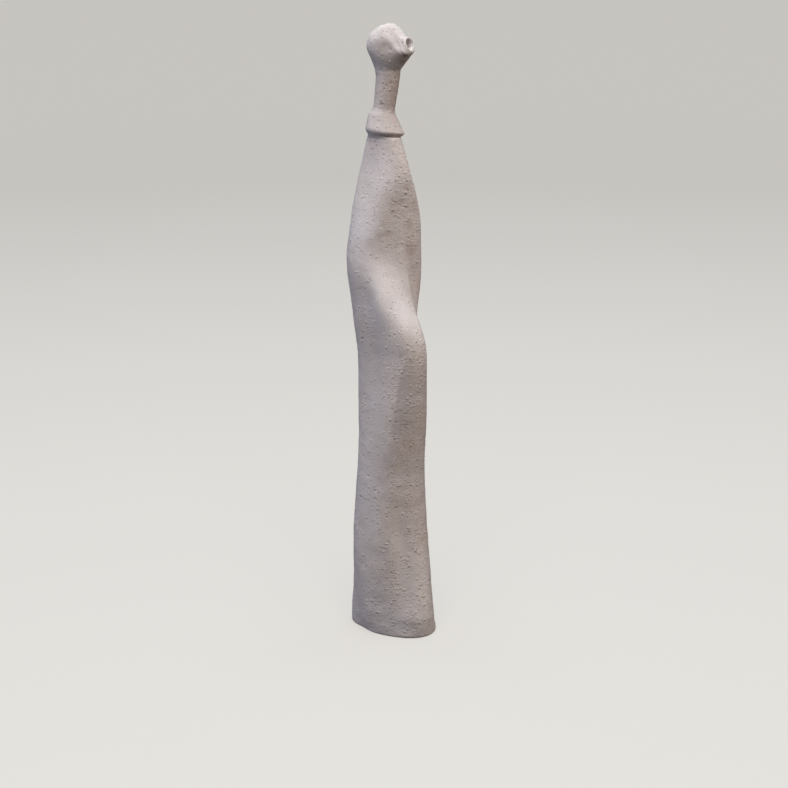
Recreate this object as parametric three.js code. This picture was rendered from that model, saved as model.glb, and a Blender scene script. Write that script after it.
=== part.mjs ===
// A slender robed figure of pale grogged clay, 450 mm tall, built by hand and fired as one piece.
// The robe is a tall tube pressed and pulled by the hands: it flares to the foot, swells forward
// at the belly and is hollowed at the chest. A short sleeve of clay flares over its top as a
// collar, and a thin neck carries a ball of a head with a round mouth that calls to one side.
// Millimetres, +Z up. The figure faces -Y, and +X is to the right of whoever looks at it.

import * as THREE from 'three';

// Driving dimensions
const ROBE_HEIGHT = 370;
const CALL_BEARING = -34;
const MOUTH_TIP = 20;
const CLAY_COLOUR = 0xb3aaa8;

// How finely the surface is divided: points around, and rows along each stretch
const COLUMNS = 48;
const ROBE_ROWS = 40;
const COLLAR_ROWS = 24;
const HEAD_ROWS = 22;

// The robe's levels: how far its outline reaches to the left, right, front and back at each
// height, and how far to the right its foremost point, the crest, lies.
const ROBE_LEVELS = [
  { height: 0, left: -34.25, right: 32, front: -28.75, back: 31, crest: 9 },
  { height: 12, left: -34.75, right: 29, front: -27, back: 30, crest: 3 },
  { height: 60, left: -32.25, right: 26.25, front: -29.5, back: 25, crest: 0 },
  { height: 120, left: -29, right: 23, front: -29, back: 20, crest: 0.5 },
  { height: 175, left: -29.5, right: 25, front: -34, back: 17, crest: 7.5 },
  { height: 212, left: -28.75, right: 25.75, front: -36, back: 16, crest: 9 },
  { height: 240, left: -31, right: 23, front: -35, back: 19, crest: 3 },
  { height: 262, left: -32.5, right: 22, front: -27.5, back: 22, crest: -3 },
  { height: 284, left: -34.25, right: 20.5, front: -20.5, back: 22.5, crest: -9.5 },
  { height: 312, left: -32, right: 19, front: -17, back: 19, crest: -8.5 },
  { height: 345, left: -25.75, right: 12.5, front: -15.5, back: 14.5, crest: 1 },
  { height: 371, left: -19.25, right: 4.75, front: -12, back: 11, crest: -2.5 },
];
// Below 2 the tube's section is pulled out at its front, back and sides
const ROBE_ROUNDNESS = 1.8;
const MOST_LEAN = 0.75;

// Where the hands pressed the tube in or pulled it out. A mark's aim is its bearing from the
// tube's middle, in degrees from +X towards +Y, and the bearing turns with height, in degrees for
// each millimetre. Its depth dies away over the spread in degrees, and over the reach up and down.
const HAND_MARKS = {
  'chest hollow': { aim: -36, turn: -0.8, height: 255, spread: 25, up: 20, down: 16, depth: -6.5 },
  'side of the chest': { aim: -14, turn: -0.75, height: 266, spread: 10, up: 16, down: 20, depth: -4.7 },
  'flat of the shoulder': { aim: -155, turn: 0.1, height: 320, spread: 26, up: 30, down: 13, depth: -1 },
  forearm: { aim: -135, turn: 0.75, height: 275, spread: 24, up: 52, down: 14, depth: 4 },
  wrist: { aim: -102, turn: -0.25, height: 258, spread: 14, up: 14, down: 12, depth: 4.5 },
  hip: { aim: -32, turn: 0.1, height: 235, spread: 9, up: 7, down: 38, depth: 2 },
  'flat beside the belly': { aim: -151, turn: 0.45, height: 202, spread: 35, up: 58, down: 49, depth: -5 },
  'fold below the belly': { aim: -72, turn: -0.2, height: 172, spread: 13, up: 60, down: 57, depth: -1.2 },
  'hollow beside the fold': { aim: -51, turn: 0.45, height: 164, spread: 19, up: 61, down: 58, depth: -2.6 },
  'thumb mark low down': { aim: -69, turn: -0.05, height: 76, spread: 13, up: 22, down: 38, depth: -3.6 },
  'corner of the foot': { aim: -48, turn: 0.2, height: 15, spread: 20, up: 24, down: 11, depth: 8.5 },
  'flat of the foot': { aim: -170, turn: -0.3, height: 12, spread: 20, up: 34, down: 31, depth: -4 },
};

// The edge of the foot, rounded under: how far in it lies at each height
const FOOT_EDGE = [
  { height: 0, inset: 1 },
  { height: 0.35, inset: 0.45 },
  { height: 0.9, inset: 0.12 },
  { height: 2.2, inset: 0 },
];

// The collar and the neck, round in section, from the robe's top upwards: the height and the
// left and right edges of each ring, half its depth, and its fall for each millimetre to the right
const COLLAR_RINGS = [
  { height: 371.5, left: -18.5, right: 4.7, deep: 11, fall: 0.07 },
  { height: 372.3, left: -19, right: 5.5, deep: 11.9, fall: 0.09 },
  { height: 373.1, left: -19.7, right: 6.4, deep: 12.8, fall: 0.11 },
  { height: 374, left: -20.2, right: 7.1, deep: 13.5, fall: 0.12 },
  { height: 375, left: -20.4, right: 7.4, deep: 13.8, fall: 0.12 },
  { height: 377, left: -20.1, right: 6.3, deep: 13.3, fall: 0.12 },
  { height: 382, left: -18.9, right: 3.7, deep: 11.3, fall: 0.09 },
  { height: 386.5, left: -17.7, right: 1.5, deep: 9.5, fall: 0.06 },
  { height: 389, left: -16.1, right: 0.8, deep: 8.3, fall: 0.04 },
  { height: 392, left: -14.7, right: 0.9, deep: 7.8, fall: 0.02 },
  { height: 399.5, left: -13.9, right: 2, deep: 8.2, fall: 0 },
  { height: 407.5, left: -13.4, right: 3.4, deep: 8.4, fall: 0 },
  { height: 414.4, left: -13.2, right: 4.2, deep: 8.7, fall: 0 },
];

// The head opens like a fan about a hinge in front of the throat, from the top of the neck round
// to the mouth: how near and how far each section reaches from the hinge, half its width, and
// how much it narrows towards the chin.
const NECK_X = -4.5;
const HINGE = { forward: 26.1, height: 414.4 };
const HEAD_SECTIONS = [
  { opening: 0, near: 17.3, far: 34.9, half: 8.8, chin: 0 },
  { opening: 7, near: 17.1, far: 35.6, half: 9.1, chin: 0.1 },
  { opening: 14, near: 16.6, far: 37.7, half: 10.4, chin: 0.13 },
  { opening: 21, near: 15.6, far: 40.8, half: 12.3, chin: 0.2 },
  { opening: 29, near: 15, far: 45.6, half: 14.2, chin: 0.2 },
  { opening: 38, near: 14.8, far: 47.1, half: 14.9, chin: 0.2 },
  { opening: 47, near: 14.6, far: 45.5, half: 14, chin: 0.2 },
  { opening: 54, near: 14.8, far: 43, half: 12, chin: 0.18 },
  { opening: 60, near: 14.9, far: 39.6, half: 7.8, chin: -0.04 },
  { opening: 65, near: 15.3, far: 29.1, half: 6.4, chin: -0.14 },
  { opening: 90 - MOUTH_TIP, near: 16.1, far: 28, half: 5.9, chin: 0 },
];

// Marks on the head: where they lie by opening, and by bearing from the way the mouth looks, in
// degrees, how far each spreads both ways, and its depth
const HEAD_MARKS = {
  bridge: { opening: 60, tall: 8, aim: -142, spread: 16, depth: 2.6 },
  'side of the mouth': { opening: 67, tall: 6, aim: -90, spread: 26, depth: 0.3 },
  jaw: { opening: 62, tall: 8, aim: -52, spread: 17, depth: 1.7 },
  cheek: { opening: 50, tall: 9, aim: -76, spread: 14, depth: -1.4 },
  temple: { opening: 48, tall: 9, aim: -106, spread: 14, depth: 0.3 },
  chin: { opening: 48, tall: 10, aim: -15, spread: 20, depth: 0.6 },
};

// The lips and the hole behind them: half of each ring's height and width, how far it stands out
// of the mouth's plane, and how far its middle lies above and beside the middle of the lips
const MOUTH_RINGS = [
  { tall: 5.9, wide: 5.9, out: 0.3, up: 0, aside: 0 },
  { tall: 5.2, wide: 5.3, out: 0.8, up: 0.2, aside: 0 },
  { tall: 4.5, wide: 4.6, out: 0.8, up: 0.5, aside: -0.1 },
  { tall: 3.6, wide: 3.8, out: 0.2, up: 0.8, aside: -0.1 },
  { tall: 2.9, wide: 3.2, out: -0.8, up: 1, aside: 0 },
  { tall: 2.4, wide: 2.6, out: -2.3, up: 1, aside: 0 },
  { tall: 1.8, wide: 2, out: -3.6, up: 0.9, aside: 0 },
  { tall: 0.9, wide: 1, out: -4.2, up: 0.9, aside: 0 },
];

const { degToRad, clamp } = THREE.MathUtils;
const columns = [...Array(COLUMNS).keys()];

// A smooth course through a list of stations: course(place) gives the values between them
function course(stations, place, ...fields) {
  const values = stations.flatMap((station) => fields.map((field) => station[field]));
  const places = stations.map((station, index) => (place ? station[place] : index));
  const curve = new THREE.CubicInterpolant(places, values, fields.length);
  return (at) => Object.fromEntries(fields.map((field, index) => [field, curve.evaluate(at)[index]]));
}

// Places from one value to another in equal steps, with the first left out
function steps(from, to, count) {
  return Array.from({ length: count }, (_, index) => from + ((to - from) * (index + 1)) / count);
}

// How strongly a mark tells at some distance: 1 at none, and near 0 past twice its reach
const bell = (away, reach) => Math.exp(-0.5 * (away / reach) ** 2);

// The angle from one bearing to another, from -180 to 180 degrees
const turnBetween = (from, to) => THREE.MathUtils.euclideanModulo(to - from + 180, 360) - 180;

// How much the hands moved the tube's wall at a height and a bearing
function pressedBy(height, bearing) {
  return Object.values(HAND_MARKS).reduce((sum, mark) => {
    const rise = height - mark.height;
    const away = turnBetween(mark.aim + mark.turn * rise, bearing);
    return sum + mark.depth * bell(away, mark.spread) * bell(rise, rise > 0 ? mark.up : mark.down);
  }, 0);
}

// One ring of the robe: an oval between its four edges, leaning so that its front point lies on
// the crest, and then pressed by the hands
const robeLevel = course(ROBE_LEVELS, 'height', 'left', 'right', 'front', 'back', 'crest');

function robeRing(height, inset = 0) {
  const { left, right, front, back, crest } = robeLevel(height);
  const middle = new THREE.Vector3((left + right) / 2, (front + back) / 2, height);
  const deep = (back - front) / 2;
  const lean = clamp((crest - middle.x) / deep, -MOST_LEAN, MOST_LEAN);
  const wide = Math.sqrt(((right - left) / 2) ** 2 - (lean * deep) ** 2);
  const rounded = (value) => Math.sign(value) * Math.abs(value) ** (2 / ROBE_ROUNDNESS);
  return columns.map((column) => {
    const angle = (column * 2 * Math.PI) / COLUMNS;
    const across = rounded(Math.cos(angle));
    const along = rounded(Math.sin(angle));
    const point = new THREE.Vector3(wide * across - lean * deep * along, deep * along, 0);
    const bearing = THREE.MathUtils.radToDeg(Math.atan2(point.y, point.x));
    point.setLength(point.length() + pressedBy(height, bearing) - inset);
    return point.add(middle);
  });
}

// One ring of the collar or the neck
const collarRing = course(COLLAR_RINGS, null, 'height', 'left', 'right', 'deep', 'fall');

function sleeveRing(place) {
  const { height, left, right, deep, fall } = collarRing(place);
  const middle = (left + right) / 2;
  return columns.map((column) => {
    const angle = (column * 2 * Math.PI) / COLUMNS;
    const x = middle + ((right - left) / 2) * Math.cos(angle);
    return new THREE.Vector3(x, deep * Math.sin(angle), height - fall * (x - middle));
  });
}

// A point of the head in the plane that has opened by some degrees about the hinge
function atHinge(opening, reach, side, out) {
  const turned = degToRad(opening);
  const call = degToRad(CALL_BEARING);
  const forward = HINGE.forward - reach * Math.cos(turned) + out * Math.sin(turned);
  return new THREE.Vector3(
    NECK_X + forward * Math.cos(call) - side * Math.sin(call),
    forward * Math.sin(call) + side * Math.cos(call),
    HINGE.height + reach * Math.sin(turned) + out * Math.cos(turned),
  );
}

const headSection = course(HEAD_SECTIONS, 'opening', 'near', 'far', 'half', 'chin');

function headRing(opening) {
  const { near, far, half, chin } = headSection(opening);
  return columns.map((column) => {
    const angle = (column * 2 * Math.PI) / COLUMNS - degToRad(CALL_BEARING);
    const push = Object.values(HEAD_MARKS).reduce((sum, mark) => {
      const away = turnBetween(mark.aim, THREE.MathUtils.radToDeg(angle));
      return sum + mark.depth * bell(opening - mark.opening, mark.tall) * bell(away, mark.spread);
    }, 0);
    const reach = (near + far) / 2 - ((far - near) / 2 + push) * Math.cos(angle);
    const side = (half * (1 - chin * Math.cos(angle)) + push) * Math.sin(angle);
    return atHinge(opening, reach, side, 0);
  });
}

function mouthRing({ tall, wide, out, up, aside }) {
  const { opening, near, far } = HEAD_SECTIONS.at(-1);
  return columns.map((column) => {
    const angle = (column * 2 * Math.PI) / COLUMNS - degToRad(CALL_BEARING);
    const reach = (near + far) / 2 + up - tall * Math.cos(angle);
    return atHinge(opening, reach, aside + wide * Math.sin(angle), out);
  });
}

// The rings joined into one skin and closed by a point at each end: the middle of the underside
// and the floor of the mouth
function skinOver(rings) {
  const sumOf = (ring) => ring.reduce((sum, point) => sum.add(point), new THREE.Vector3());
  const middleOf = (ring) => sumOf(ring).divideScalar(COLUMNS);
  const points = [middleOf(rings[0]), ...rings.flat(), middleOf(rings.at(-1))];
  const last = points.length - 1;
  const at = (row, column) => 1 + row * COLUMNS + (column % COLUMNS);
  const faces = columns.flatMap((column) => [
    [0, at(0, column + 1), at(0, column)],
    [last, at(rings.length - 1, column), at(rings.length - 1, column + 1)],
  ]);
  for (let row = 0; row < rings.length - 1; row += 1) {
    for (const column of columns) {
      faces.push([at(row, column), at(row, column + 1), at(row + 1, column + 1)]);
      faces.push([at(row, column), at(row + 1, column + 1), at(row + 1, column)]);
    }
  }
  const geometry = new THREE.BufferGeometry().setFromPoints(points);
  geometry.setIndex(faces.flat());
  geometry.computeVertexNormals();
  return geometry;
}

const footTop = FOOT_EDGE.at(-1).height;
const figurine = new THREE.Mesh(
  skinOver([
    ...FOOT_EDGE.map(({ height, inset }) => robeRing(height, inset)),
    ...steps(footTop, ROBE_HEIGHT, ROBE_ROWS).map((height) => robeRing(height)),
    ...[0, ...steps(0, COLLAR_RINGS.length - 1, COLLAR_ROWS)].map(sleeveRing),
    ...steps(0, 90 - MOUTH_TIP, HEAD_ROWS).map(headRing),
    ...MOUTH_RINGS.map(mouthRing),
  ]),
  new THREE.MeshStandardMaterial({ color: CLAY_COLOUR, roughness: 0.9, metalness: 0 }),
);
figurine.name = 'figurine';

const part = new THREE.Group();
part.add(figurine);

export default part;
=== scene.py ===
"""A slender robed figure of pale grogged clay, fired in one piece, standing on a plain floor."""
import math

import bpy
import numpy as np
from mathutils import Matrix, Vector


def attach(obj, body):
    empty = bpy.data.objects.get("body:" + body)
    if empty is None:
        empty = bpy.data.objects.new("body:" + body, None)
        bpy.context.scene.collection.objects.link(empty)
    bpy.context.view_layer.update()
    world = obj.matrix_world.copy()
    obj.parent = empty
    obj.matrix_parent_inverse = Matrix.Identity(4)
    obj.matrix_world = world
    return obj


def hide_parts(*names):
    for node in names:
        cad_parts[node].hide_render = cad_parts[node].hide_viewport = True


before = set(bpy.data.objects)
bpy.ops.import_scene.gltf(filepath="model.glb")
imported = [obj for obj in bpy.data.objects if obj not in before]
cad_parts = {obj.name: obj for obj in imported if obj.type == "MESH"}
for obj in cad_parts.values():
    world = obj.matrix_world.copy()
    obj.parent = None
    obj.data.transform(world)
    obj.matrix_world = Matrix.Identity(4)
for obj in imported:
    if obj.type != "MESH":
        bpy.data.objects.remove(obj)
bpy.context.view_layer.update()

# The robe: a tall tube of clay, pressed in and pulled out by the hands while it was soft. It
# flares at the foot, swells forward at the belly and is hollowed at the chest, between the
# elbows. Sizes of the figure are millimetres, and its mesh is made in metres at the end.
METRES = 0.001
ROBE_TOP = 370.0
ROBE_ROUNDNESS = 1.8
MOST_LEAN = 0.75

# height, left, right, front, back, and how far to the right the foremost point lies
ROBE_LEVELS = np.array([
    [0, -34.25, 32, -28.75, 31, 9],
    [12, -34.75, 29, -27, 30, 3],
    [60, -32.25, 26.25, -29.5, 25, 0],
    [120, -29, 23, -29, 20, 0.5],
    [175, -29.5, 25, -34, 17, 7.5],
    [212, -28.75, 25.75, -36, 16, 9],
    [240, -31, 23, -35, 19, 3],
    [262, -32.5, 22, -27.5, 22, -3],
    [284, -34.25, 20.5, -20.5, 22.5, -9.5],
    [312, -32, 19, -17, 19, -8.5],
    [345, -25.75, 12.5, -15.5, 14.5, 1],
    [371, -19.25, 4.75, -12, 11, -2.5],
])

# Hand marks: bearing from the tube's middle in degrees, its turn with each millimetre of height,
# height, spread in degrees, reach up and down, and depth, which is negative where pressed in
HAND_MARKS = {
    "chest hollow": (-36, -0.8, 255, 25, 20, 16, -6.5),
    "side of the chest": (-14, -0.75, 266, 10, 16, 20, -4.7),
    "flat of the shoulder": (-155, 0.1, 320, 26, 30, 13, -1),
    "forearm": (-135, 0.75, 275, 24, 52, 14, 4),
    "wrist": (-102, -0.25, 258, 14, 14, 12, 4.5),
    "hip": (-32, 0.1, 235, 9, 7, 38, 2),
    "flat beside the belly": (-151, 0.45, 202, 35, 58, 49, -5),
    "fold below the belly": (-72, -0.2, 172, 13, 60, 57, -1.2),
    "hollow beside the fold": (-51, 0.45, 164, 19, 61, 58, -2.6),
    "thumb mark low down": (-69, -0.05, 76, 13, 22, 38, -3.6),
    "corner of the foot": (-48, 0.2, 15, 20, 24, 11, 8.5),
    "flat of the foot": (-170, -0.3, 12, 20, 34, 31, -4),
}


def carry(stations, at):
    """The values at some places along a list of stations, whose first column is the place: a
    cubic between two stations, with each station's slope the mean of the slopes beside it."""
    place = stations[:, 0]
    value = stations[:, 1:]
    chord = np.diff(value, axis=0) / np.diff(place)[:, None]
    slope = np.vstack([chord[:1], (chord[1:] + chord[:-1]) / 2, chord[-1:]])
    at = np.asarray(at, float)
    i = np.clip(np.searchsorted(place, at, side="right") - 1, 0, len(place) - 2)
    width = (place[i + 1] - place[i])[:, None]
    s = (at - place[i])[:, None] / width
    return (
        (1 + 2 * s) * (1 - s) ** 2 * value[i]
        + s * (1 - s) ** 2 * width * slope[i]
        + s**2 * (3 - 2 * s) * value[i + 1]
        - s**2 * (1 - s) * width * slope[i + 1]
    )


def bell(away, reach):
    """1 at no distance and near 0 past twice the reach: exp(-(away / reach)^2 / 2)."""
    return np.exp(-0.5 * (away / reach) ** 2)


def robe_rings(height, turn, inset=0.0):
    """Rings of the robe. At each height an oval lies between its four edges,
    x = wide cos(t) - lean deep sin(t) and y = deep sin(t), with cosine and sine raised to
    2 / roundness, and each hand mark then moves a point outwards by its depth times a bell
    over the bearing and a bell over the height."""
    height = np.asarray(height, float)
    left, right, front, back, crest = carry(ROBE_LEVELS, height).T[:, :, None]
    z = height[:, None]
    middle_x = (left + right) / 2
    middle_y = (front + back) / 2
    deep = (back - front) / 2
    lean = np.clip((crest - middle_x) / deep, -MOST_LEAN, MOST_LEAN)
    wide = np.sqrt(((right - left) / 2) ** 2 - (lean * deep) ** 2)
    across = np.sign(np.cos(turn)) * np.abs(np.cos(turn)) ** (2 / ROBE_ROUNDNESS)
    along = np.sign(np.sin(turn)) * np.abs(np.sin(turn)) ** (2 / ROBE_ROUNDNESS)
    x = wide * across - lean * deep * along
    y = deep * along
    bearing = np.degrees(np.arctan2(y, x))
    push = -np.broadcast_to(np.asarray(inset, float), height.shape)[:, None]
    for aim, twist, level, spread, up, down, depth in HAND_MARKS.values():
        away = (bearing - aim - twist * (z - level) + 180) % 360 - 180
        push = push + depth * bell(away, spread) * bell(z - level, np.where(z > level, up, down))
    grow = 1 + push / np.hypot(x, y)
    return np.stack([middle_x + x * grow, middle_y + y * grow, z + 0 * x], -1)


# The foot's edge: rounded under by the thumb, with the flat underside inside it.
# height and how far in the edge lies there
FOOT_EDGE = np.array([[0, 1.0], [0.1, 0.7], [0.35, 0.45], [0.9, 0.12], [1.5, 0.04], [2.2, 0]])


def underside_rings(turn, count):
    """Rings from close round the middle of the flat underside out to the foot's edge."""
    rim = robe_rings([0], turn, [FOOT_EDGE[0, 1]])
    middle = rim.mean(axis=1, keepdims=True)
    return middle + (rim - middle) * np.linspace(0.02, 1, count, endpoint=False)[:, None, None]


# The collar: a short sleeve of clay flared over the robe's top, with a bevelled lip, drawn in to
# the neck above it. Both are round in section.
# place along the profile, height, left, right, half the depth, fall for each millimetre across
COLLAR_RINGS = np.array([
    [0, 371.5, -18.5, 4.7, 11, 0.07],
    [1, 372.3, -19, 5.5, 11.9, 0.09],
    [2, 373.1, -19.7, 6.4, 12.8, 0.11],
    [3, 374, -20.2, 7.1, 13.5, 0.12],
    [4, 375, -20.4, 7.4, 13.8, 0.12],
    [5, 377, -20.1, 6.3, 13.3, 0.12],
    [6, 382, -18.9, 3.7, 11.3, 0.09],
    [7, 386.5, -17.7, 1.5, 9.5, 0.06],
    [8, 389, -16.1, 0.8, 8.3, 0.04],
    [9, 392, -14.7, 0.9, 7.8, 0.02],
    [10, 399.5, -13.9, 2, 8.2, 0],
    [11, 407.5, -13.4, 3.4, 8.4, 0],
    [12, 414.4, -13.2, 4.2, 8.7, 0],
])


def collar_rings(place, turn):
    """Tilted ellipses up the collar and the neck: x = middle + half width cos(t),
    y = half depth sin(t), and z falls by the ring's slope from left to right."""
    height, left, right, deep, fall = carry(COLLAR_RINGS, place).T[:, :, None]
    from_middle = (right - left) / 2 * np.cos(turn)
    x = (left + right) / 2 + from_middle
    return np.stack([x, deep * np.sin(turn), height - fall * from_middle], -1)


# The head: a ball that narrows into the neck, with a short tube of a mouth pulled out of it, so
# that the figure calls up and to one side. Its sections open like a fan about a hinge in front
# of the throat, from the top of the neck round to the lips.
NECK_X = -4.5
CALL = math.radians(-34)
MOUTH_TIP = 20
HINGE_FORWARD = 26.1
HINGE_HEIGHT = 414.4

# opening in degrees, nearest and furthest reach from the hinge, half width, narrowing to the chin
HEAD_SECTIONS = np.array([
    [0, 17.3, 34.9, 8.8, 0],
    [7, 17.1, 35.6, 9.1, 0.1],
    [14, 16.6, 37.7, 10.4, 0.13],
    [21, 15.6, 40.8, 12.3, 0.2],
    [29, 15, 45.6, 14.2, 0.2],
    [38, 14.8, 47.1, 14.9, 0.2],
    [47, 14.6, 45.5, 14, 0.2],
    [54, 14.8, 43, 12, 0.18],
    [60, 14.9, 39.6, 7.8, -0.04],
    [65, 15.3, 29.1, 6.4, -0.14],
    [90 - MOUTH_TIP, 16.1, 28, 5.9, 0],
])

# Marks on the head: opening and its spread, bearing from the call and its spread, and depth
HEAD_MARKS = {
    "bridge": (60, 8, -142, 16, 2.6),
    "side of the mouth": (67, 6, -90, 26, 0.3),
    "jaw": (62, 8, -52, 17, 1.7),
    "cheek": (50, 9, -76, 14, -1.4),
    "temple": (48, 9, -106, 14, 0.3),
    "chin": (48, 10, -15, 20, 0.6),
}

# place along the profile, half the height, half the width, how far out of the lips' plane, and
# how far its middle lies above and beside the middle of the lips
MOUTH_RINGS = np.array([
    [0, 5.9, 5.9, 0.3, 0, 0],
    [1, 5.2, 5.3, 0.8, 0.2, 0],
    [2, 4.5, 4.6, 0.8, 0.5, -0.1],
    [3, 3.6, 3.8, 0.2, 0.8, -0.1],
    [4, 2.9, 3.2, -0.8, 1, 0],
    [5, 2.4, 2.6, -2.3, 1, 0],
    [6, 1.8, 2, -3.6, 0.9, 0],
    [7, 0.9, 1, -4.2, 0.9, 0],
])


def at_hinge(opening, reach, side, out):
    """Points of the plane that has opened by an angle about the hinge: reach runs from the hinge
    within the plane, side across the head, and out square to the plane."""
    turned = np.radians(opening)
    forward = HINGE_FORWARD - reach * np.cos(turned) + out * np.sin(turned)
    x = NECK_X + forward * np.cos(CALL) - side * np.sin(CALL)
    y = forward * np.sin(CALL) + side * np.cos(CALL)
    return np.stack([x, y, HINGE_HEIGHT + reach * np.sin(turned) + out * np.cos(turned)], -1)


def head_rings(opening, turn):
    """Egg-shaped sections of the head, with t counted from the way the mouth looks:
    reach = middle - half cos(t) and side = half width sin(t) (1 - chin cos(t)). Each mark moves
    a point outwards by its depth times a bell over the opening and a bell over t."""
    near, far, half, chin = carry(HEAD_SECTIONS, opening).T[:, :, None]
    opening = np.asarray(opening, float)[:, None]
    t = turn - CALL
    push = 0 * opening * t
    for level, tall, aim, spread, depth in HEAD_MARKS.values():
        away = (np.degrees(t) - aim + 180) % 360 - 180
        push = push + depth * bell(opening - level, tall) * bell(away, spread)
    reach = (near + far) / 2 - ((far - near) / 2 + push) * np.cos(t)
    side = (half * (1 - chin * np.cos(t)) + push) * np.sin(t)
    return at_hinge(opening, reach, side, 0)


def mouth_rings(place, turn):
    """Ovals over the lips and down the hollow behind them, off centre as they go in."""
    tall, wide, out, up, aside = carry(MOUTH_RINGS, place).T[:, :, None]
    opening, near, far = HEAD_SECTIONS[-1, :3]
    t = turn - CALL
    return at_hinge(opening, (near + far) / 2 + up - tall * np.cos(t), aside + wide * np.sin(t), out)


# The whole skin, from the middle of the underside up to the floor of the mouth, as rings less
# than half a millimetre apart.
COLUMNS = 440
ROW_GAP = 0.42
MOST_FACES = 195000


def even_places(rings, start, end):
    """Places from start to end whose rings lie about a row gap apart, with the first left out:
    the mean distance between many close rings is summed, and read back at equal steps."""
    turn = np.linspace(0, 2 * np.pi, 24, endpoint=False)
    place = np.linspace(start, end, 600)
    travelled = np.linalg.norm(np.diff(rings(place, turn), axis=0), axis=2).mean(axis=1)
    length = np.concatenate([[0], np.cumsum(travelled)])
    count = int(round(length[-1] / ROW_GAP))
    return np.interp(np.linspace(0, length[-1], count + 1)[1:], length, place)


turn = np.linspace(0, 2 * np.pi, COLUMNS, endpoint=False)[None]
foot_top = FOOT_EDGE[-1, 0]
collar_end = COLLAR_RINGS[-1, 0]
mouth_end = MOUTH_RINGS[-1, 0]
underside = underside_rings(turn, 30)
skin = np.concatenate([
    underside,
    robe_rings(FOOT_EDGE[:, 0], turn, FOOT_EDGE[:, 1]),
    robe_rings(even_places(robe_rings, foot_top, ROBE_TOP), turn),
    collar_rings(np.concatenate([[0], even_places(collar_rings, 0, collar_end)]), turn),
    head_rings(even_places(head_rings, 0, 90 - MOUTH_TIP), turn),
    mouth_rings(np.concatenate([[0], even_places(mouth_rings, 0, mouth_end)]), turn),
])


# The clay's surface: coarse grog stands up in grains, each with a torn hollow under it, grains
# that fell out left pits, and the hands left the wall slightly uneven.
CUBE_SIDE = 97
GRAIN_CELL = 2.2
GRAIN_SIZES = (0.45, 0.95)
PIT_CELL = 3.2
PIT_SIZES = (0.4, 0.9)
TORN_BELOW = 1.1


def random_cube(seed, values):
    """Random values from 0 to 1 for the corners of a cubic lattice, which repeats past its side."""
    return np.random.default_rng(seed).random((CUBE_SIDE,) * 3 + (values,), dtype=np.float32)


def drawn_at(cube, corner):
    """The cube's values at some corners of the lattice."""
    return cube[tuple(np.moveaxis(corner % CUBE_SIDE, -1, 0))]


def unevenness(points, cell, seed):
    """Smooth noise from -1 to 1: random values at lattice corners, blended with 3s^2 - 2s^3."""
    cube = random_cube(seed, 1)
    corner = np.floor(points / cell).astype(int)
    s = points / cell - corner
    s = s * s * (3 - 2 * s)
    total = 0
    for step in np.ndindex(2, 2, 2):
        weight = np.prod(np.where(step, s, 1 - s), axis=-1)
        total = total + weight * drawn_at(cube, corner + step)[..., 0]
    return 2 * total - 1


def grit(points, cell, share, smallest, largest, seed):
    """Scattered round grains, each 1 at its middle and 0 at its rim: the largest of
    1 - (distance / radius)^2 over one random grain in each lattice cell that holds one."""
    cube = random_cube(seed, 5)
    corner = np.floor(points / cell - 0.5).astype(int)
    best = np.zeros(points.shape[:-1])
    for step in np.ndindex(2, 2, 2):
        drawn = drawn_at(cube, corner + step)
        centre = (corner + step + 0.25 + 0.5 * drawn[..., :3]) * cell
        radius = smallest + (largest - smallest) * drawn[..., 3] ** 2
        grain = 1 - ((points - centre) ** 2).sum(axis=-1) / radius**2
        best = np.maximum(best, np.where(drawn[..., 4] < share, grain, 0))
    return best


def outward(grid):
    """Unit normals of the skin, from the cross product of the steps round and along it."""
    around = np.roll(grid, -1, axis=1) - np.roll(grid, 1, axis=1)
    along = np.gradient(grid, axis=0)
    normal = np.cross(around, along)
    return normal / np.maximum(np.linalg.norm(normal, axis=2, keepdims=True), 1e-9)


# Places on the front that the hands left smooth: how far to the right, height, how far they
# reach across and up, and how smooth they are
SMOOTH_PLACES = [
    (-20, 300, 9, 45, 0.8), (-9, 275, 11, 22, 0.9), (8, 242, 13, 13, 0.9), (-18, 170, 13, 50, 0.6),
    (-16, 60, 9, 50, 0.3), (9, 9, 7, 4, 0.9),
]

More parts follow.
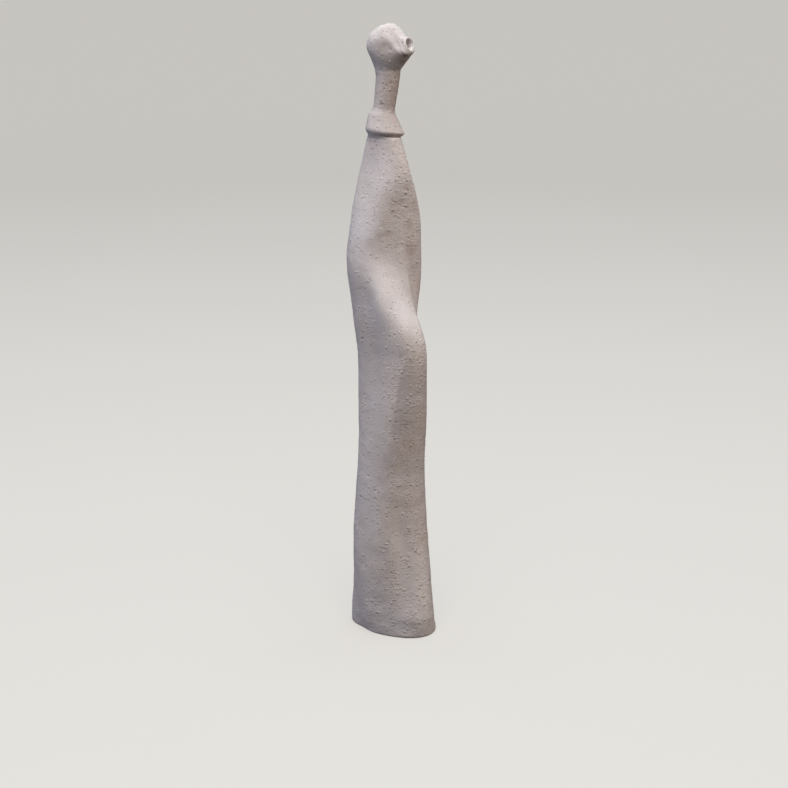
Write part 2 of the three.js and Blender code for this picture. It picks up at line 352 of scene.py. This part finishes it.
# Grains, each with a torn hollow below, and pits that stand out on the front: how far to the
# right, height, and radius
LARGE_GRAINS = [
    (-14, 31, 0.9), (-17, 27, 1.3), (6, 96, 0.9), (12, 215.5, 0.8), (8.5, 216, 0.7), (-3, 169, 0.8),
    (9, 341, 0.8), (8, 332, 1.0), (20, 203, 0.9), (19.5, 12.5, 1.1), (3, 42.5, 0.9), (7.5, 37.5, 0.9),
    (9.5, 185.5, 0.8), (-18.5, 270, 0.8), (-4, 306, 0.8), (17, 132, 0.9), (3, 118, 0.8),
    (10, 126, 0.8), (-23, 62, 0.9), (-2, 27, 0.8), (6.5, 328, 0.8), (-8.4, 429, 0.9),
]
LARGE_PITS = [
    (-19, 123.5, 1.0), (-14, 113.5, 1.0), (9.5, 225, 0.9), (-23, 226, 1.0), (-24.5, 106, 0.9),
    (-15.5, 362, 0.8), (-12.5, 146.5, 0.8), (-13, 17, 1.0), (-22, 183.5, 0.8), (-1, 319, 0.8),
    (-4, 75, 0.9), (0, 445.6, 1.7), (3.2, 446.5, 1.0), (-8.4, 440, 0.9), (-9.2, 417.3, 1.0),
    (0, 417.3, 0.9), (-9, 394, 1.5), (-11.3, 383, 0.8), (-2.3, 432.5, 0.9), (0.8, 412, 0.9),
    (-5.5, 377.5, 0.8), (0, 408, 0.7), (-5.4, 407.5, 0.7), (-6.2, 405, 0.6), (-7.5, 404, 0.6),
    (2, 399, 0.7), (-13.5, 367, 0.7), (-12.7, 365, 0.8), (-7.6, 444.6, 0.7), (-1.9, 442, 0.8),
    (-13, 438.4, 0.6), (5.7, 436.7, 0.7), (8.8, 330, 0.6),
]
# Brown stains in the chest: how far to the right, height, and radius
STAINS = [
    (-0.6, 317.5, 3.2), (-5.8, 314, 3), (-7.8, 311, 2.6), (10.9, 311.8, 2.6), (11.7, 307.8, 2.6),
    (-4.2, 303.8, 3.4), (-11, 301.4, 3.2), (9, 336, 3), (14, 325, 3), (12, 292, 6), (8, 424, 5.5),
]
# Places painted pale where the front faces the light most, on the top of the belly, the upper chest and
# the left
# shoulder, which is painted light: how far to the right, height, how far they reach across and up, and
# how pale they are
PAINTED_LIGHT_PLACES = [
    (-7, 267, 10, 16, 0.6), (6, 245, 11, 11, 0.75), (-6, 352, 9, 12, 0.6), (-24, 310, 6, 25, 0.2),
]
# Scratches in the chest: from how far to the right and height, to the same at the other end
SCRATCHES = [(-1.4, 326.7, 4.6, 322.7), (4.6, 322.7, 10, 320.7), (6.1, 325.5, 4.6, 322.7)]
SCRATCH_HALF_WIDTH = 0.5
# The crest along the fold below the belly, where painted light gives way to painted shade: height, and
# how far to the right it lies. It has a width, and the painted light and shade reach some way off it
FOLD_CREST = np.array([
    (135, -5.5), (154, -2.2), (172, -0.5), (190, 2.2), (198, 3.6), (207, 5.8), (216, 10),
])
CREST_HALF_WIDTH = 0.9
CREST_REACH = 4.5
# A flat that a thumb pressed into the foot: how far to the right, height, and its two radii
THUMB_FLAT = (9, 8.5, 9, 6.5)


def scattered(points, spots, facing):
    """Round spots on the front: the largest of 1 - (distance / radius)^2 over the spots, with
    the distance taken in the upright plane. They fade out where the skin turns away."""
    best = np.zeros(points.shape[:-1])
    for x, z, radius in spots:
        spot = 1 - ((points[..., 0] - x) ** 2 + (points[..., 2] - z) ** 2) / radius**2
        best = np.maximum(best, spot)
    return best * np.clip(-0.4 - 3 * facing[..., 1], 0, 1)


def scratched(points, facing):
    """Grooves on the front: 1 - (distance / half width)^2, with the distance to the nearest point
    of each line taken in the upright plane."""
    best = np.zeros(points.shape[:-1])
    for from_x, from_z, to_x, to_z in SCRATCHES:
        along = np.array([to_x - from_x, to_z - from_z])
        off = points[..., [0, 2]] - np.array([from_x, from_z])
        nearest = np.clip(off @ along / (along @ along), 0, 1)[..., None] * along
        groove = 1 - ((off - nearest) ** 2).sum(axis=-1) / SCRATCH_HALF_WIDTH**2
        best = np.maximum(best, np.where(facing[..., 1] < 0, groove, 0))
    return best


# Heights at which the clay changes and the painted light and shade along the fold begin and end, and the
# width over which it coarsens from left to right
COARSENS_OVER = 44
CREST_FOOT = 140
FOLD_HEIGHT = 190
CREST_TOP = 218
COLLAR_FOOT = 372
NECK_FOOT = 388
HEAD_FOOT = 413

facing = outward(skin)
height = skin[..., 2]
# The clay is coarse on the right of the robe and up the neck, and smoother where the hands
# rubbed it, on the head and at the back
to_the_right = np.clip(0.5 + skin[..., 0] / COARSENS_OVER, 0, 1)
rubbed = 1
for x, z, across, up, smoothed in SMOOTH_PLACES:
    touched = bell(skin[..., 0] - x, across) * bell(height - z, up) * (facing[..., 1] < 0)
    rubbed = rubbed * (1 - smoothed * touched)
ahead = np.clip(0.6 - facing[..., 1], 0.35, 1)
coarse = ahead * (0.5 + 0.4 * to_the_right) * (0.45 + 0.55 * rubbed)
coarse = coarse * (1 + 0.5 * unevenness(skin, 12, 31))
upper = np.clip((height - COLLAR_FOOT) / 6, 0, 1)
on_head = np.clip((height - HEAD_FOOT) / 8, 0, 1)
coarse = np.clip(coarse * (1 - upper) + (0.6 - 0.4 * on_head) * ahead * upper, 0, 1)

# The points are shaken a little first, so that no grain is quite round
shaken = skin + 0.3 * np.stack([unevenness(skin + shift, 1.3, 43) for shift in (0, 3, 7)], -1)
below = shaken + np.array([0, 0, TORN_BELOW])
some = 0.1 + 0.75 * coarse
grains = grit(shaken, GRAIN_CELL, some, *GRAIN_SIZES, 12)
grains = np.maximum(grains, scattered(shaken, LARGE_GRAINS, facing))
torn = grit(below, GRAIN_CELL, some, *GRAIN_SIZES, 12)
torn = np.maximum(torn, scattered(below, LARGE_GRAINS, facing))
torn = np.clip(torn - 1.5 * grains, 0, 1)
low_down = np.clip((FOLD_HEIGHT - height) / 60, 0, 1)
on_neck = np.clip((height - NECK_FOOT) / 6, 0, 1) - on_head
few = ahead * (0.1 + 0.2 * coarse + 0.1 * low_down + 0.06 * upper + 0.2 * on_neck)
pits = grit(shaken, PIT_CELL, few, *PIT_SIZES, 11)
pits = np.maximum(pits, scattered(shaken, LARGE_PITS, facing))
groove = scratched(shaken, facing)
x, z, across, up = THUMB_FLAT
thumb_flat = 1 - ((skin[..., 0] - x) / across) ** 2 - ((height - z) / up) ** 2
thumb_flat = np.where(facing[..., 1] < 0, np.clip(thumb_flat, 0, 1), 0)
# Painted light: paler patches where the front faces the light most
pale = 0
for x, z, across, up, brightened in PAINTED_LIGHT_PLACES:
    pale = np.maximum(pale, brightened * bell(skin[..., 0] - x, across) * bell(height - z, up))
pale = pale * (facing[..., 1] < 0)
frayed = skin + 0.8 * unevenness(skin, 2.5, 51)[..., None]
# Painted light and shade along the fold below the belly: paler on the crest's left, and painted shade in
# the fold on its right
from_crest = frayed[..., 0] - np.interp(height, FOLD_CREST[:, 0], FOLD_CREST[:, 1])
painted_fold_light_and_shade = np.clip(-from_crest / CREST_HALF_WIDTH, -1, 1)
painted_fold_light_and_shade = painted_fold_light_and_shade * np.exp(-np.abs(from_crest) / CREST_REACH)
painted_fold_light_and_shade = painted_fold_light_and_shade * np.clip((height - CREST_FOOT) / 40, 0, 1)
painted_fold_light_and_shade = painted_fold_light_and_shade * np.clip((CREST_TOP - height) / 12, 0, 1)
painted_fold_light_and_shade = painted_fold_light_and_shade * (facing[..., 1] < 0)
stain = np.sqrt(np.clip(scattered(frayed, STAINS, facing), 0, 1))
relief = (
    0.25 * unevenness(skin, 16, 21)
    + (0.08 + 0.16 * low_down) * unevenness(skin, 9, 25)
    + 0.12 * unevenness(skin, 6, 22)
    + (0.03 + 0.05 * coarse) * unevenness(skin, 2.6, 23)
    + (0.02 + 0.04 * coarse) * unevenness(skin, 1.1, 24)
    + 0.29 * grains
    - 0.18 * torn
    - 0.38 * pits * (1 - 0.3 * on_head)
    - 0.16 * groove
    - 0.5 * thumb_flat
)
hollow = np.clip(pits + torn + 0.2 * groove, 0, 1) * (1 - 0.3 * on_head)
# The underside stays flat, and the relief comes in over the foot's edge
RELIEF_FADE = 2.5
rows_below = len(underside)
relief[:rows_below] = 0
relief[rows_below:] *= np.clip(height[rows_below:] / RELIEF_FADE, 0, 1)
skin = skin + relief[..., None] * facing

ends = np.stack([skin[0].mean(axis=0), skin[-1].mean(axis=0)])
rows = len(skin)
vertices = np.concatenate([ends[:1], skin.reshape(-1, 3), ends[1:]]) * METRES
ring = np.arange(COLUMNS)
following = (ring + 1) % COLUMNS
first = 1 + COLUMNS * np.arange(rows - 1)[:, None]
corners = [first + ring, first + following, first + COLUMNS + following, first + COLUMNS + ring]
walls = np.stack(corners, -1)
floor_fan = np.stack([0 * ring, 1 + following, 1 + ring], -1)
top = 1 + COLUMNS * (rows - 1)
mouth_fan = np.stack([0 * ring + top + COLUMNS, top + ring, top + following], -1)
faces = floor_fan.tolist() + walls.reshape(-1, 4).tolist() + mouth_fan.tolist()
mesh = bpy.data.meshes.new("clay_figure")
mesh.from_pydata(vertices, [], faces)
carried_along = {
    "hollow": hollow,
    "raised": grains,
    "coarse": coarse,
    "stain": stain,
    "pale": pale,
    "painted_fold_light_and_shade": painted_fold_light_and_shade,
}
for name, values in carried_along.items():
    layer = mesh.attributes.new(name, "FLOAT", "POINT")
    layer.data.foreach_set("value", np.concatenate([[0], values.ravel(), [0]]))
mesh.shade_smooth()
figure = bpy.data.objects.new("clay_figure", mesh)
bpy.context.scene.collection.objects.link(figure)
thin = figure.modifiers.new("fewer faces where the wall is plain", "DECIMATE")
thin.ratio = MOST_FACES / (2 * COLUMNS * rows)


# The fired clay: pale lavender grey, matt and dry, darker in its pits and paler on its grains
class Wire:
    """A socket of the clay's node tree. Sums and products of wires and numbers add Math nodes."""

    def __init__(self, socket):
        self.socket = socket

    def node(self, kind, settings, inputs, out=0):
        """Adds a node to this wire's tree: its settings first, then values or links."""
        tree = self.socket.id_data
        made = tree.nodes.new(kind)
        for name, value in settings.items():
            setattr(made, name, value)
        for name, value in inputs.items():
            if isinstance(value, Wire):
                tree.links.new(value.socket, made.inputs[name])
            else:
                made.inputs[name].default_value = value
        return Wire(made.outputs[out])

    def math(self, operation, first, second):
        return self.node("ShaderNodeMath", {"operation": operation}, {0: first, 1: second})

    def __add__(self, other):
        return self.math("ADD", self, other)

    def __sub__(self, other):
        return self.math("SUBTRACT", self, other)

    def __rsub__(self, other):
        return self.math("SUBTRACT", other, self)

    def __mul__(self, other):
        return self.math("MULTIPLY", self, other)

    __radd__ = __add__
    __rmul__ = __mul__

    def between(self, low, high):
        """0 below low, 1 above high, and smooth between them."""
        inputs = {"Value": self, "From Min": low, "From Max": high}
        return self.node("ShaderNodeMapRange", {"interpolation_type": "SMOOTHSTEP"}, inputs)

    def noise(self, size, detail):
        """Fractal noise of this place, about 0 to 1, with lumps of a size in millimetres."""
        inputs = {"Vector": self, "Scale": 1 / (size * METRES), "Detail": detail}
        return self.node("ShaderNodeTexNoise", {}, inputs)

    def cells(self, size, out):
        """Random cells of this place, of a size in millimetres: the distance to the nearest
        cell's middle, or the cell's own random colour."""
        return self.node("ShaderNodeTexVoronoi", {}, {"Vector": self, "Scale": 1 / (size * METRES)}, out)

    def shifted(self, by):
        """This place moved by some metres."""
        return self.node("ShaderNodeVectorMath", {"operation": "ADD"}, {0: self, 1: by})

    def mixed(self, first, second):
        """The first colour with this share of the second; a colour mix has its inputs at 6 and 7."""
        return self.node("ShaderNodeMix", {"data_type": "RGBA"}, {0: self, 6: first, 7: second}, 2)

    def dimmed(self, factor):
        """This colour times a number."""
        return self.node("ShaderNodeVectorMath", {"operation": "SCALE"}, {0: self, "Scale": factor})


BODY = (0.47, 0.433, 0.423, 1)
WARM = (0.43, 0.37, 0.335, 1)
COOL = (0.43, 0.43, 0.455, 1)
PIT_BROWN = (0.2, 0.15, 0.125, 1)
GRAIN_PALE = (0.56, 0.53, 0.515, 1)
# Brown of the neck's streaks, also used as its painted shade
NECK_BROWN_AND_SHADE = (0.34, 0.285, 0.255, 1)
STAIN_BROWN = (0.33, 0.265, 0.225, 1)
PAINTED_LIGHT_PALE = (0.57, 0.53, 0.525, 1)
RUST = (0.3, 0.15, 0.09, 1)
RUST_SPOT = (-0.0173, -0.03, 0.0255)
SAND_CELL = 1.5
PINHOLE_CELL = 2.1
UNDER_SAND = (0, 0, 0.0006)

clay = bpy.data.materials.new("fired_clay")
clay.use_nodes = True
nodes = clay.node_tree.nodes
shader = nodes["Principled BSDF"]
shader.inputs["Specular IOR Level"].default_value = 0.25
place = Wire(nodes.new("ShaderNodeTexCoord").outputs["Object"])


def carried(name):
    """A number that the mesh carries at its points."""
    return place.node("ShaderNodeAttribute", {"attribute_name": name}, {}, "Fac")


def sand_at(spot):
    """Sand that stands out of the clay: a dome in the middle of each cell, as wide as the cell's
    random number and the clay's coarseness give it."""
    cell_colour = spot.cells(SAND_CELL, "Color")
    drawn = spot.node("ShaderNodeSeparateColor", {}, {"Color": cell_colour}, "Red")
    return 1 - spot.cells(SAND_CELL, "Distance").between(0, drawn * (0.25 + 0.3 * coarse_here) + 0.02)


hollow_here = carried("hollow")
raised_here = carried("raised")
coarse_here = carried("coarse")
mottle = place.noise(7, 3)
speck = place.noise(1.0, 2)
fine = place.noise(0.55, 2)
sand = sand_at(place)
under_sand = (sand_at(place.shifted(UNDER_SAND)) - sand).between(0, 0.8)
# Pinholes: small dark holes in the middles of about half of the cells
hole_middle = 1 - place.cells(PINHOLE_CELL, "Distance").between(0.1, 0.22)
pinhole = hole_middle * place.cells(PINHOLE_CELL, "Color").between(0.4, 0.6)

warm = coarse_here * 0.5 * place.noise(30, 2).between(0.35, 0.7)
cool = place.noise(52, 2).between(0.5, 0.8) * 0.5
# The collar is a little browner and the neck browner still, more so on its right: partly brown streaks,
# and partly painted shade under the head, deepest on the right side, away from the light
rightward = place.node("ShaderNodeSeparateXYZ", {}, {"Vector": place}, "X")
upward = place.node("ShaderNodeSeparateXYZ", {}, {"Vector": place}, "Z")
neck_here = 0.55 * upward.between(0.371, 0.375) + 0.45 * upward.between(0.384, 0.396)
neck_here = neck_here - upward.between(0.41, 0.42)
streaks_and_shade = 0.12 + 0.35 * rightward.between(-0.01, 0) + 0.4 * place.noise(1.8, 2).between(0.52, 0.62)
distance = {"operation": "DISTANCE"}
from_rust = place.node("ShaderNodeVectorMath", distance, {0: place, 1: RUST_SPOT}, "Value")
# Broad drifts of colour come first, then the body's speckle, then grains, pits and the rust spot
colour = warm.mixed(BODY, WARM)
colour = cool.mixed(colour, COOL)
# Painted shade on the collar and neck, more on their right, mixed with brown streaks
colour = (neck_here * streaks_and_shade).mixed(colour, NECK_BROWN_AND_SHADE)
# Painted light on the brightest places of the front
colour = carried("pale").mixed(colour, PAINTED_LIGHT_PALE)
colour = (carried("stain") * 0.4).mixed(colour, STAIN_BROWN)
# Painted light on the left of the fold's crest, and painted shade in the fold on its right
colour = colour.dimmed(1 + carried("painted_fold_light_and_shade") * 0.13)
colour = colour.dimmed(0.77 + 0.16 * mottle + (0.14 + 0.14 * coarse_here) * speck + 0.1 * fine)
colour = (raised_here.between(0, 0.8) * 0.28).mixed(colour, GRAIN_PALE)
colour = (sand * 0.25).mixed(colour, GRAIN_PALE)
colour = (under_sand * 0.32).mixed(colour, PIT_BROWN)
colour = (hollow_here.between(0, 0.7) * 0.36).mixed(colour, PIT_BROWN)
colour = (pinhole * 0.22).mixed(colour, PIT_BROWN)
colour = ((1 - from_rust.between(0.0006, 0.0022)) * 0.5).mixed(colour, RUST)
rough = 0.86 + 0.1 * speck
lumps = 0.12 * fine + (0.1 + 0.15 * coarse_here) * speck
lumps = lumps + 0.25 * sand - 0.18 * under_sand - 0.1 * pinhole
bump = place.node("ShaderNodeBump", {}, {"Strength": 0.8, "Distance": METRES, "Height": lumps})
clay.node_tree.links.new(colour.socket, shader.inputs["Base Color"])
clay.node_tree.links.new(rough.socket, shader.inputs["Roughness"])
clay.node_tree.links.new(bump.socket, shader.inputs["Normal"])
figure.data.materials.append(clay)

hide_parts("figurine")
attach(figure, "root")

# The plain floor under the figure: a wide round sheet of pale paper that curves up to a wall all
# round. It glows a little, so that it stays evenly pale, and casts no light back on the figure.
MIDDLE_RADIUS = 0.01
FLOOR_RADIUS = 3.2
CURVE_RADIUS = 1.0
WALL_TOP = 3.5
SIDES = 96

bend = np.radians(np.linspace(0, 90, 13))
curve = FLOOR_RADIUS + CURVE_RADIUS * np.sin(bend)
reach = np.concatenate([[MIDDLE_RADIUS], curve, [FLOOR_RADIUS + CURVE_RADIUS]])
rise = np.concatenate([[0], CURVE_RADIUS * (1 - np.cos(bend)), [WALL_TOP]])
round_floor = np.linspace(0, 2 * np.pi, SIDES, endpoint=False)
sheet = np.stack([
    reach[:, None] * np.cos(round_floor),
    reach[:, None] * np.sin(round_floor),
    rise[:, None] + 0 * round_floor,
], -1)
side = np.arange(SIDES)
next_side = (side + 1) % SIDES
start = SIDES * np.arange(len(reach) - 1)[:, None]
corners = [start + side, start + SIDES + side, start + SIDES + next_side, start + next_side]
panels = np.stack(corners, -1)
floor_mesh = bpy.data.meshes.new("plain_floor")
floor_mesh.from_pydata(sheet.reshape(-1, 3), [], panels.reshape(-1, 4).tolist() + [side.tolist()])
floor_mesh.shade_smooth()
plain_floor = bpy.data.objects.new("plain_floor", floor_mesh)
bpy.context.scene.collection.objects.link(plain_floor)
paper = bpy.data.materials.new("pale_paper")
paper.use_nodes = True
paper_shader = paper.node_tree.nodes["Principled BSDF"]
paper_shader.inputs["Base Color"].default_value = (0.18, 0.175, 0.168, 1)
paper_shader.inputs["Emission Color"].default_value = (1, 0.97, 0.92, 1)
paper_shader.inputs["Emission Strength"].default_value = 0.53
paper_shader.inputs["Roughness"].default_value = 1.0
paper_shader.inputs["Specular IOR Level"].default_value = 0.0
floor_mesh.materials.append(paper)
plain_floor.visible_diffuse = False
plain_floor.visible_glossy = False

# Soft studio light: large square lamps that all face the figure's middle from the same distance.
# Each has its angle round from the front to the right, its angle up, and its strength by colour.
LAMP_POWER = 100
LAMP_SIZE = 1.5
LAMP_DISTANCE = 2.2
AIM = Vector((0, 0, 0.24))
LAMPS = {
    "overhead": (0, 90, (0.531, 0.587, 0.617)),
    "front": (0, 50, (0.426, 0.387, 0.366)),
    "left": (-80, 10, (0.199, 0.211, 0.255)),
    "right": (80, 10, (0.222, 0.190, 0.172)),
    "back": (180, 10, (0.18, 0.18, 0.18)),
}
# The low lamps reach down past the floor, so they light the figure alone
LOWEST_FOR_FLOOR = 30
figure_alone = bpy.data.collections.new("lit by the low lamps")
figure_alone.objects.link(figure)

for name, (around, up, strength) in LAMPS.items():
    around = math.radians(around)
    up = math.radians(up)
    towards = Vector((math.sin(around) * math.cos(up), -math.cos(around) * math.cos(up), math.sin(up)))
    light = bpy.data.lights.new(name, "AREA")
    light.shape = "SQUARE"
    light.size = LAMP_SIZE
    light.energy = LAMP_POWER
    light.color = strength
    lamp = bpy.data.objects.new(name, light)
    lamp.location = AIM + towards * LAMP_DISTANCE
    lamp.rotation_euler = (-towards).to_track_quat("-Z", "Y").to_euler()
    lamp.visible_camera = False
    if math.degrees(up) < LOWEST_FOR_FLOOR:
        lamp.light_linking.receiver_collection = figure_alone
    bpy.context.scene.collection.objects.link(lamp)
world = bpy.data.worlds.new("soft_room")
bpy.context.scene.world = world
world.use_nodes = True
world.node_tree.nodes["Background"].inputs["Strength"].default_value = 0.0

# The camera stands where the photograph was taken from
CAMERA_PLACE = (0, -1.227, 0.4735)
CAMERA_DIP = 13.4
FOCAL_PIXELS = 1700
FRAME_PIXELS = 788
lens = bpy.data.cameras.new("camera")
lens.sensor_width = 36
lens.lens = FOCAL_PIXELS * lens.sensor_width / FRAME_PIXELS
camera = bpy.data.objects.new("camera", lens)
camera.location = CAMERA_PLACE
camera.rotation_euler = (math.radians(90 - CAMERA_DIP), 0, 0)
bpy.context.scene.collection.objects.link(camera)
bpy.context.scene.camera = camera
bpy.context.scene.view_settings.view_transform = "Standard"
